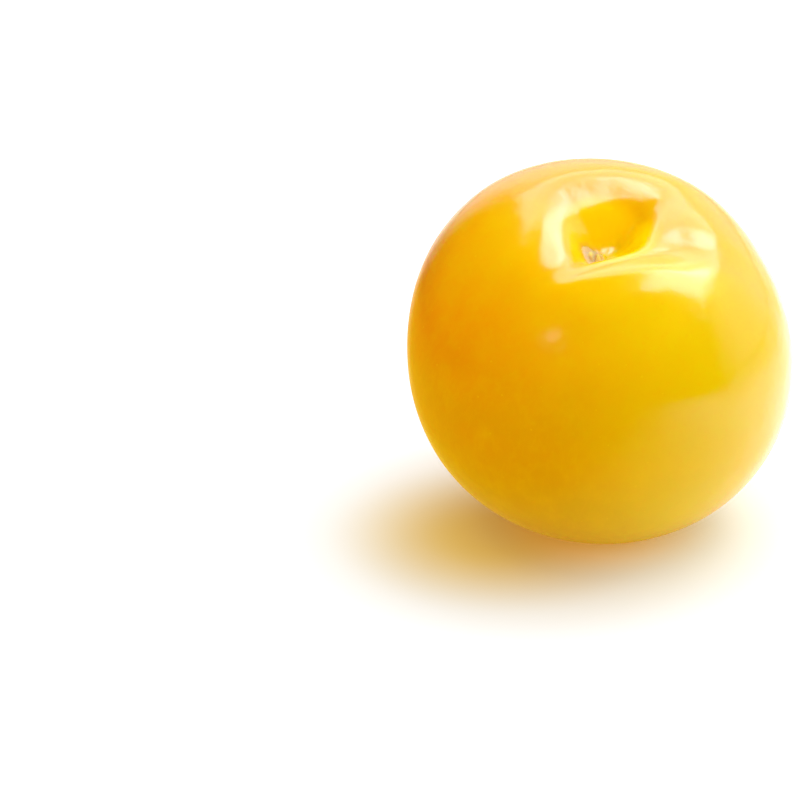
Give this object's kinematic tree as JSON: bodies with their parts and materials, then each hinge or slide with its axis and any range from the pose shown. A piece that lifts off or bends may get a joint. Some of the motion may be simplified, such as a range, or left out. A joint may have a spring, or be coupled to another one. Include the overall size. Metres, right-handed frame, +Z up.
{
  "type": "plum",
  "caption": "Whole ripe yellow plum, picked and without its stalk, lying on a small flat spot with the stem hollow leaning to the front.",
  "frame": {"origin": "middle of the bounding box on the plane that the fruit rests on", "axes": "+Z up, -Y to the front, which the stem end leans towards, +X to the fruit's right seen from the front"},
  "size_m": [0.0522, 0.0522, 0.0499],
  "materials": {
    "skin": "smooth glossy ripe skin, orange yellow, slightly translucent"
  },
  "bodies": {
    "root": {"plum": "skin"}
  },
  "joints": []
}
